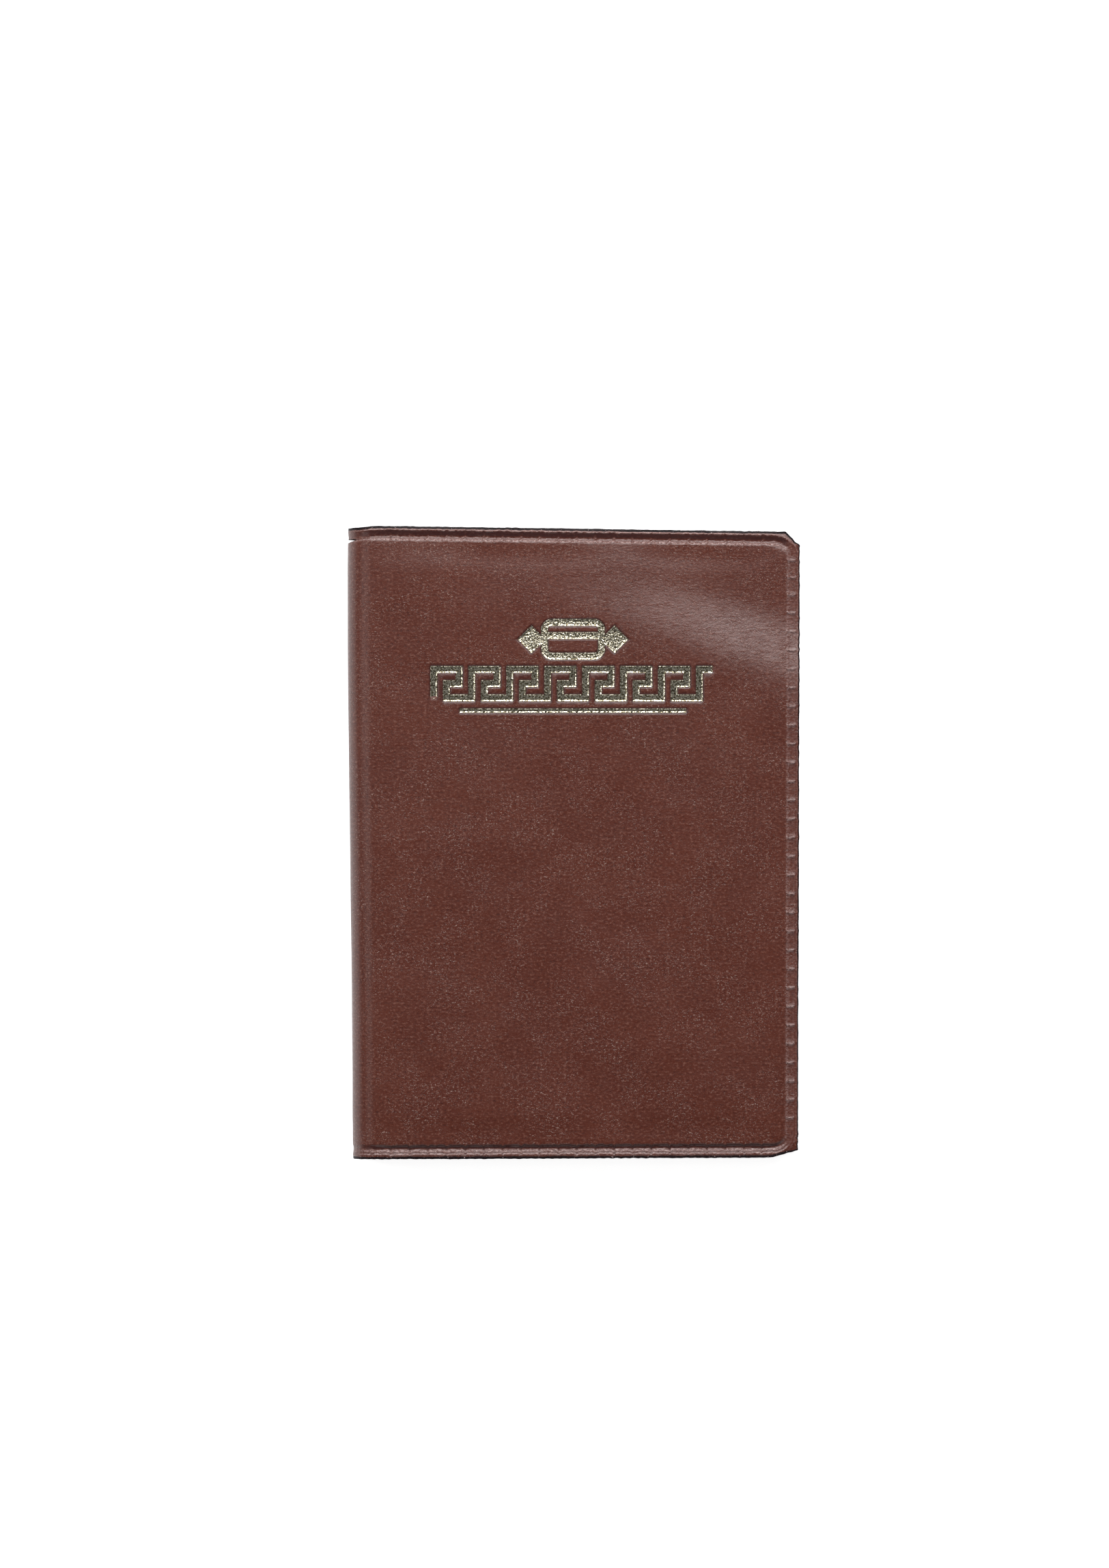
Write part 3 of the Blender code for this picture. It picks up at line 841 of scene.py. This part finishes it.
def skin_tones(side, x, y):
    """Where the skin is pressed by the weld and darkened by painted shade, paled by painted highlights on its
    ridges, pale with painted sheen on the front and bloom on the back, and cut.
    """
    inside = weld_distance(x, y)
    along = kinked_distance(x, y)
    fore = fore_share(x, y)
    flat = smooth(BEND_X - 6, BEND_X, x)
    band = smooth(0.6, 0.9, inside) * smooth(2.5, 2.2, inside) * fore
    bow = rib_bow(inside)
    between = 1 - 0.8 * rib_share(x, LONG_RIBS)
    # Painted shade: darker where the top band falls from its lip and where the panel falls into the bottom
    # band, slopes that face away from the key light, and in a thin line on the bottom band.
    top_groove_shade = smooth(0.76, 0.88, along) * smooth(2.0, 1.5, along)
    bottom_groove_shade = smooth(1.85, 2.1, along) * smooth(3.0, 2.4, along)
    bottom_groove_shade = np.maximum(bottom_groove_shade, 0.8 * hump(1.17, 0.08, along))
    # Painted highlight: pale lines on slopes that face the key light, the top lip's crest and the rise to the
    # panel, the bottom lip and the bottom groove's floor between the ribs.
    top_highlight = np.maximum(hump(0.62, 0.10, along), 1.2 * hump(2.52, 0.13, along))
    top_highlight = np.maximum(top_highlight, 0.5 * hump(2.1, 0.09, along))
    bottom_highlight = np.maximum(1.2 * hump(0.92, 0.11, along), 0.9 * hump(1.52, 0.22, along) * between)
    pressed = np.where(y > 0, top_groove_shade, bottom_groove_shade) * (1 - fore)
    # Painted shade just below each rib of the fore-edge band.
    pressed = pressed + 0.75 * rib_share(y - bow + 0.24, FORE_RIBS) * band
    ridge_highlight = np.where(y > 0, top_highlight, bottom_highlight) * (1 - fore)
    # Painted highlight on the fore-edge band's lip, its rise and its rib crests.
    ridge_highlight = ridge_highlight + fore * np.maximum(0.4 * hump(0.36, 0.10, inside), 0.24 * hump(2.2, 0.3, inside))
    ridge_highlight = ridge_highlight + band * (0.10 + 0.45 * rib_share(y - bow, FORE_RIBS))
    # Painted sheen on the front: a pale, glossy patch along the line where the drooping corner tilts towards
    # the key light. On the back, pale bloom in random patches.
    bloom_and_sheen = hump(-0.5, 6, past_fold(x, y)) * smooth(-12, 30, x)
    if side < 0:
        bloom_and_sheen = 0.4 * smooth(0.3, 1.3, ripple(22, x, y, 30))
    else:
        # Painted shade round the ornament's strokes.
        pressed = pressed + 0.95 * hump(0.2, 0.15, stroke_distance(x, y))
    outline = (cut_distance(x, y) < OUTLINE + 0.03 - 0.2 * fore).astype(float)
    return {"weld_and_shade": pressed * flat, "ridge_highlight": ridge_highlight * flat, "bloom_and_sheen": bloom_and_sheen, "outline": outline}


STROKE_LINES = (-0.32, -0.16, 0.0, 0.12)  # outwards from a stroke's edge, for its shoulder


def shoulder_lines(centres, half):
    """Grid lines at both shoulders of strokes with these centres."""
    found = [centre + sign * (half - step) for centre in centres for sign in (-1, 1) for step in STROKE_LINES]
    return np.array(found)


def ornament_lines():
    """Grid lines along X and along Y that follow the ornament's strokes."""
    half = STROKE / 2
    width, height = np.array(EMBLEM_SIZE) - STROKE
    band_x = sorted({round(x, 4) for x, _ in BAND_LINE})
    band_y = sorted({round(y, 4) + BAND_Y for _, y in BAND_LINE})
    lines_x = np.concatenate([shoulder_lines(band_x, half), shoulder_lines([-width / 2, width / 2], half),
                              shoulder_lines([0], RULE_HIGH[0])])
    emblem_y = [EMBLEM_Y - height / 2, EMBLEM_Y + STRIPE_RISE, EMBLEM_Y + height / 2]
    rule_y = [(RULE_LOW[1] + RULE_HIGH[1]) / 2]
    lines_y = np.concatenate([shoulder_lines(band_y, half), shoulder_lines(emblem_y, half),
                              shoulder_lines(rule_y, (RULE_HIGH[1] - RULE_LOW[1]) / 2)])
    emblem_low, emblem_high = node_box("foil_emblem")
    fine_x = evenly(emblem_low[0] - 0.4, emblem_high[0] + 0.4, 0.26)
    fine_y = evenly(emblem_low[1] - 0.4, emblem_high[1] + 0.4, 0.26)
    return lines_x, lines_y, fine_x, fine_y


def nick_lines(*short_of_tip):
    """Grid lines along Y across the nick, with some this far short of its tip."""
    low, high = NICK_MOUTH
    return [low - 0.1, low, *(NICK_TIP[1] - gap for gap in short_of_tip), NICK_TIP[1], high, high + 0.1]


def skin_lines(side):
    """Grid lines of a cover along X and along Y, close at the weld, the ribs, the nick and the ornament."""
    ribs_x = (LONG_RIBS[:, None] + RIB_LINES).ravel()
    ribs_y = (FORE_RIBS[:, None] + RIB_LINES).ravel()
    edges_x = np.concatenate([FORE_X - WELD_LINES, [MID_X]])
    edges_y = np.concatenate([TOP_Y - WELD_LINES, BOTTOM_Y + WELD_LINES])
    nick = nick_lines(0.4, 0.2)
    round_spine = evenly(MID_X, BEND_X, 0.5)
    fill = 1.0 if side > 0 else 1.6
    fill_x, fill_y = evenly(MID_X, FORE_X, 0.6 * fill), evenly(BOTTOM_Y, TOP_Y, fill)
    if side < 0:
        return line_set(edges_x, round_spine, ribs_x, fill_x), line_set(nick, edges_y, ribs_y, fill_y)
    stroke_x, stroke_y, fine_x, fine_y = ornament_lines()
    return (line_set(edges_x, stroke_x, fine_x, round_spine, ribs_x, fill_x, least=0.11),
            line_set(nick, edges_y, stroke_y, fine_y, ribs_y, fill_y, least=0.08))


def kept_lines(lines, always, step):
    """Indices of the grid lines that a coarse side keeps: these ranges' lines, and one every step."""
    kept = [0]
    for number, value in enumerate(lines[1:-1], 1):
        inside = any(low <= value <= high for low, high in always)
        if inside or value - lines[kept[-1]] >= step and lines[-1] - value > step / 2:
            kept.append(number)
    return [*kept, len(lines) - 1]


def cover_grid(lines_x, lines_y):
    """Plan places of a grid, with the fore-edge corners cut off."""
    return trimmed(*np.meshgrid(lines_x, lines_y, indexing="ij"))


def flat_places(side, x, y):
    """Places on the flat sheet for textures, which run on from one cover round the spine to the other."""
    along = x if side > 0 else 2 * MID_X - x
    return np.stack([along, y], -1)


def cover_skin(side, name, materials):
    lines_x, lines_y = skin_lines(side)
    x, y = cover_grid(lines_x, lines_y)
    outer = finished(wrapped(side, x, y, outer_depth(side, x, y)))
    inner = finished(wrapped(side, x, y, skin_depth(side, x, y)), 0.25)
    coarse_x = kept_lines(lines_x, [(MID_X, BEND_X + 1), (FORE_X - 4.5, FORE_X)], 6)
    coarse_y = kept_lines(lines_y, [(TOP_Y - 4.5, TOP_Y), (BOTTOM_Y, BOTTOM_Y + 4.5)], 8)
    return sheet_between(name, outer, inner, flat_places(side, x, y), materials, (coarse_x, coarse_y),
                         skin_tones(side, x, y))


def blend_cover(obj, side):
    """Bakes a sheet's place into its mesh; it is not bent at the hinge."""
    if side > 0:
        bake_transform(obj)
    else:
        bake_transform(obj)


def add_half_sheets(make, name, layer, materials):
    """The skins or the linings, one for each cover. The back one has the spine's node too."""
    for side, body in BODY.items():
        obj = make(side, name.format(body), materials)
        spine = [f"spine_{layer}"] if side < 0 else []
        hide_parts(f"{body}_{layer}", *spine)
        blend_cover(obj, side)


# ---- foil

FOIL_CELL = 0.17
FOIL_MARGIN = 0.5  # of the grid round a mark
FOIL_SPREAD = 0.10  # past the stroke, up its shoulders
FOIL_RISE, FOIL_SINK = 0.035, 0.03  # how far the foil stands above the sheet and reaches into it
CRUMPLED = {"foil_emblem": 0.8, "foil_band": 0.3, "foil_rule": 0.1}


def on_outline(x, y, outline):
    """Places moved onto the line where outline is 0, by a few steps down its slope."""
    step = 0.02
    for _ in range(3):
        slope_x = (outline(x + step, y) - outline(x - step, y)) / (2 * step)
        slope_y = (outline(x, y + step) - outline(x, y - step)) / (2 * step)
        scale = outline(x, y) / np.maximum(slope_x ** 2 + slope_y ** 2, 0.25)
        x, y = x - scale * slope_x, y - scale * slope_y
    return x, y


def closed_cells(cells_kept, count):
    """These cells, their copies on the underside and the walls that close their rim."""
    top = cells_kept.tolist()
    directed = {(a, b) for face in top for a, b in zip(face, face[1:] + face[:1])}
    rim = [pair for pair in sorted(directed) if (pair[1], pair[0]) not in directed]
    underside = [[count + corner for corner in face[::-1]] for face in top]
    return top + underside + [[b, a, count + a, count + b] for a, b in rim]


def stamp(node_name, distance, crumple_share, materials):
    """A foil mark: grid cells inside its strokes, with the rim drawn onto their outline."""
    low, high = node_box(node_name)
    xs, ys = (evenly(low[axis] - FOIL_MARGIN, high[axis] + FOIL_MARGIN, FOIL_CELL) for axis in (0, 1))
    x, y = np.meshgrid(xs, ys, indexing="ij")

    def outline(x, y):
        return distance(x, y) - FOIL_SPREAD + 0.025 * ripple(31, x, y, 0.9)

    value = outline(x, y)
    kept = (value[:-1, :-1] + value[1:, :-1] + value[1:, 1:] + value[:-1, 1:]) / 4 < 0
    cells_kept = np.array(quads(np.arange(x.size).reshape(x.shape)))[kept.ravel()]
    around = np.bincount(cells_kept.ravel(), minlength=x.size)
    edge = (around > 0) & (around < 4)
    x, y = x.ravel(), y.ravel()
    x[edge], y[edge] = on_outline(x[edge], y[edge], outline)
    depth = outer_depth(1, x, y)
    crumple = 0.012 * ripple(32, x, y, 0.42, waves=24)
    top = finished(wrapped(1, x, y, depth - FOIL_RISE + crumple))
    bottom = finished(wrapped(1, x, y, depth + FOIL_SINK))
    faces = closed_cells(cells_kept, x.size)
    flat = np.tile(np.stack([x, y], -1), (2, 1))
    tones = {"crumple": np.full(2 * x.size, crumple_share)}
    obj = make_object(f"{node_name}_stamp", np.concatenate([top, bottom]), faces,
                      flat[np.concatenate(faces)], [0] * len(faces), materials, tones)
    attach(obj, "front")
    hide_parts(node_name)


def add_foil(materials):
    for node_name, distance in ORNAMENT_DISTANCE.items():
        stamp(node_name, distance, CRUMPLED[node_name], materials)


# ---- lining and padding


def lining_depth(side, x, y):
    """The lining lies over the padding, meets the cover at the weld and hugs it round the spine."""
    bed = 1.9 + 0.03 * ripple(41, x, y, 20)
    bed = 1.02 + (bed - 1.02) * smooth(BEND_X - 1.2, BEND_X + 2.2, x)
    pressed = 1.26
    return pressed + (bed - pressed) * smooth(2.0, 4.4, weld_distance(x, y)) + droop(side, x, y)


LINING = 0.25
LINING_EDGE = np.array((0, 0.3, 0.9, 1.5, 2.0, 2.5, 3.0, 3.5, 4.1, 5))


def cover_lining(side, name, materials):
    lines_x = line_set([MID_X], FORE_X - LINING_EDGE, evenly(MID_X, BEND_X + 3, 0.5),
                       evenly(MID_X, FORE_X, 1.5), least=0.2)
    lines_y = line_set(nick_lines(0.3), TOP_Y - LINING_EDGE, BOTTOM_Y + LINING_EDGE,
                       evenly(BOTTOM_Y, TOP_Y, 1.6), least=0.06)
    x, y = cover_grid(lines_x, lines_y)
    depth = lining_depth(side, x, y)
    outer = finished(wrapped(side, x, y, depth), 0.3)
    inner = finished(wrapped(side, x, y, depth + LINING), 0.5)
    return sheet_between(name, outer, inner, flat_places(side, x, y), materials)


PAD_EDGE = np.array((0.2, 0.6, 1.2, 2))
PAD_CORNER = 1.8
PAD_MIDDLE, PAD_HALF = 1.32, 0.29  # depth of the board's middle, and half its thickness


def pad_lines(low, high):
    return line_set([low, high], low + PAD_EDGE, high - PAD_EDGE, evenly(low, high, 2.5), least=0.15)


def foam_pad(side, name, materials):
    """A thin foam board, crowned, with soft edges and round corners."""
    low, high = node_box(f"{BODY[side]}_padding")
    x, y = np.meshgrid(*(pad_lines(low[axis], high[axis]) for axis in (0, 1)), indexing="ij")
    middle_x = (low[0] + high[0]) / 2
    past_x = np.maximum(np.abs(x - middle_x) - (high[0] - low[0]) / 2 + PAD_CORNER, 0)
    past_y = np.maximum(np.abs(y) - high[1] + PAD_CORNER, 0)
    past = np.hypot(past_x, past_y)
    straight = np.minimum(np.minimum(x - low[0], high[0] - x), high[1] - np.abs(y))
    inside = np.where((past_x > 0) & (past_y > 0), PAD_CORNER - past, straight)
    shrink = np.minimum(inside, 0)
    x = x + shrink * np.sign(x - middle_x) * past_x / np.maximum(past, 1e-6)
    y = y + shrink * np.sign(y) * past_y / np.maximum(past, 1e-6)
    half = PAD_HALF * (0.10 + 0.90 * np.sqrt(smooth(-0.2, 2.2, np.maximum(inside, 0))))
    middle = PAD_MIDDLE + 0.02 * ripple(51, x, y, 12) + droop(side, x, y)
    outer, inner = (wrapped(side, x, y, middle + sign * half) for sign in (-1, 1))
    return sheet_between(name, outer, inner, flat_places(side, x, y), materials)


def add_padding(materials):
    for side, body in BODY.items():
        obj = foam_pad(side, f"{body}_foam", materials)
        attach(obj, body)
        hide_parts(f"{body}_padding")


# ---- clear films

FILM = 0.2
NOTCH_RADIUS = 8.0
POCKET_EDGE = np.array((0, 0.4, 1.0, 1.6, 2.1, 2.6, 3.2, 4.0, 5.2))
POCKET_NODES = ("pocket", "seam_bottom", "seam_outer", "seam_inner")


def notched(x, y, middle, mouth):
    """Rows under a pocket's mouth, drawn down round its thumb notch."""
    reach = 16
    notch = np.sqrt(np.clip(NOTCH_RADIUS ** 2 - (x - middle) ** 2, 0, None))
    share = np.clip((y - mouth + reach) / reach, 0, 1)
    return y - notch * share ** 1.5


def notch_lines(middle):
    return middle + NOTCH_RADIUS * np.sin(np.radians(np.arange(-90, 91, 9)))


def cover_pocket(side, body, materials):
    """The clear pocket on a cover's lining, welded down along three sides."""
    low, high = node_box(f"{body}_pocket")
    seam = node_box(f"{body}_seam_inner")[1][0]
    middle = (seam + node_box(f"{body}_seam_outer")[0][0]) / 2
    mouth = high[1]
    lines_x = line_set([low[0]], notch_lines(middle), FORE_X - POCKET_EDGE, low[0] + POCKET_EDGE,
                       evenly(low[0], FORE_X, 2), least=0.1)
    lines_y = line_set([mouth], BOTTOM_Y + POCKET_EDGE, evenly(BOTTOM_Y, mouth, 2), least=0.2)
    x, y = np.meshgrid(lines_x, lines_y, indexing="ij")
    x, y = trimmed(x, notched(x, y, middle, mouth))
    bed = lining_depth(side, x, y) + LINING + 0.04
    near = np.minimum(np.minimum(weld_distance(x, y), x - low[0]), y - BOTTOM_Y)
    raised = 2.98 + 0.05 * ripple(61, x, y, 22) + 0.12 * smooth(mouth - 14, mouth, y)
    depth = bed + (raised - bed) * smooth(2.0, 5.0, near)
    outer, inner = (finished(wrapped(side, x, y, at)) for at in (depth, depth + FILM))
    obj = sheet_between(f"{body}_pocket_film", outer, inner, np.stack([x, y], -1), materials)
    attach(obj, body)
    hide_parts(*(f"{body}_{part}" for part in POCKET_NODES))


ROOT_X = node_box("binding_strip")[1][0] - 0.02  # the leaves' root, on the binding strip
LEAF_EDGE = np.array((0, 0.15, 0.4, 0.8, 1.3, 2.0, 2.6, 3.4, 4.4))
LEAF_CORNER = 1.5
LEAF_PINCH = 0.35  # how far apart a leaf's films are at the root, as a share


def leaf_grid(low, high, lines_y, middle=None):
    """Places of a leaf's film, with a thumb notch at middle if that is given."""
    parts = [[ROOT_X], high[0] - LEAF_EDGE, low[0] + LEAF_EDGE, evenly(ROOT_X, high[0], 2)]
    if middle is not None:
        parts.insert(1, notch_lines(middle))
    x, y = np.meshgrid(line_set(*parts, least=0.1), lines_y, indexing="ij")
    if middle is not None:
        y = notched(x, y, middle, high[1])
    return x, y


def round_leaf_corners(x, y, fore, ends):
    """Closes up the rows at the fore-edge corners, so that they are round."""
    reach = 5
    run = np.clip(x - (fore - LEAF_CORNER), 0, LEAF_CORNER)
    cut = LEAF_CORNER - np.sqrt(LEAF_CORNER ** 2 - run ** 2)
    for end in ends:
        share = np.clip(1 - np.abs(end - y) / reach, 0, 1)
        y = y - math.copysign(1, end) * cut * share
    return y


def add_leaf_film(body, kind, places, nodes, materials):
    """One film of a leaf, from its places. It closes up to the root, where the strip holds it."""
    x, y, z = places
    low = node_box(f"{body}_backing")[0]
    root_z = (low[2] + node_box(f"{body}_pocket")[0][2]) / 2
    spread = LEAF_PINCH + (1 - LEAF_PINCH) * smooth(ROOT_X, low[0] + 3, x)
    underside = np.stack([x, y, root_z + (z - root_z) * spread], -1)
    top = underside + np.array((0, 0, FILM))
    obj = sheet_between(f"{body}_{kind}_film", top, underside, np.stack([x, y], -1), materials)
    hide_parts(*nodes)
    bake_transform(obj)


def leaf_wave(number, x, y):
    """A leaf's low waves, the same in both its films."""
    return 0.04 * ripple(70 + number, x, y, 24)


def leaf_backing(number, materials):
    """A leaf's full-height film."""
    body = f"leaf_{number}"
    low, high = node_box(f"{body}_backing")
    bottom, top = low[1], high[1]
    lines_y = line_set([bottom, top], bottom + LEAF_EDGE, top - LEAF_EDGE,
                       evenly(bottom, top, 2.5), least=0.1)
    x, y = leaf_grid(low, high, lines_y)
    y = round_leaf_corners(x, y, high[0], (bottom, top))
    z = low[2] + leaf_wave(number, x, y)
    add_leaf_film(body, "back", (x, y, z), [f"{body}_backing"], materials)


def leaf_pocket(number, materials):
    """A leaf's clear pocket, welded onto its backing along three sides."""
    body = f"leaf_{number}"
    low, high = node_box(f"{body}_backing")
    pocket_low, pocket_high = node_box(f"{body}_pocket")
    bottom, mouth = low[1], pocket_high[1]
    lines_y = line_set([bottom, mouth], bottom + LEAF_EDGE, evenly(bottom, mouth, 2.5), least=0.1)
    x, y = leaf_grid(low, (high[0], mouth), lines_y, (low[0] + high[0]) / 2)
    y = round_leaf_corners(x, y, high[0], (bottom,))
    near = np.minimum(np.minimum(high[0] - x, x - low[0]), y - bottom)
    base = low[2] + FILM + 0.05 + leaf_wave(number, x, y)
    raised = pocket_low[2] - 0.06 + 0.05 * ripple(80 + number, x, y, 20)
    raised = raised + 0.10 * smooth(mouth - 14, mouth, y)
    z = base + (raised - base) * smooth(1.9, 4.6, near)
    nodes = [f"{body}_{part}" for part in POCKET_NODES]
    add_leaf_film(body, "front", (x, y, z), nodes, materials)


def binding(materials):
    """The strip inside the spine, with a weld line for each leaf."""
    low, high = node_box("binding_strip")
    radius = RADIUS - (low[0] - SPINE_X)
    thick = 0.4
    reach = math.asin((high[2] - low[2]) / 2 / radius)
    angles = evenly(-reach, reach, 0.04)
    ys = line_set([low[1], high[1]], low[1] + np.array((0.3, 0.8)), high[1] - np.array((0.3, 0.8)),
                  evenly(low[1], high[1], 1.2), least=0.2)
    angle, y = np.meshgrid(angles, ys, indexing="ij")
    leaf_z = [node_centre(f"leaf_{number}_seam_outer")[2] for number in (1, 2)]
    height = radius * np.sin(angle)
    groove = sum(np.exp(-((RADIUS + height - z) / 0.22) ** 2) for z in leaf_z)
    pressed = 0.08 * groove * (0.6 + 0.4 * np.cos(2 * math.pi * y / 1.8))

    def at(r):
        return np.stack([BEND_X - r * np.cos(angle), y, RADIUS + r * np.sin(angle)], -1)

    obj = sheet_between("spine_binding", at(np.full_like(angle, radius)), at(radius - thick + pressed),
                        np.stack([radius * angle, y], -1), materials)
    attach(obj, "spine")
    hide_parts("binding_strip")


def add_films(materials):
    for side, body in BODY.items():
        cover_pocket(side, body, materials)
    for number in (1, 2):
        leaf_backing(number, materials)
        leaf_pocket(number, materials)


def build():
    leather, edge = leatherette_material(), cut_edge_material()
    lining, film = lining_material(), clear_film_material()
    add_padding([foam_material()])
    add_half_sheets(cover_skin, "cover_{}_skin", "cover", [leather, edge])
    add_half_sheets(cover_lining, "lining_{}_film", "lining", [lining])
    binding([lining])
    add_films([film])
    add_foil([foil_material()])


add_stage()
build()
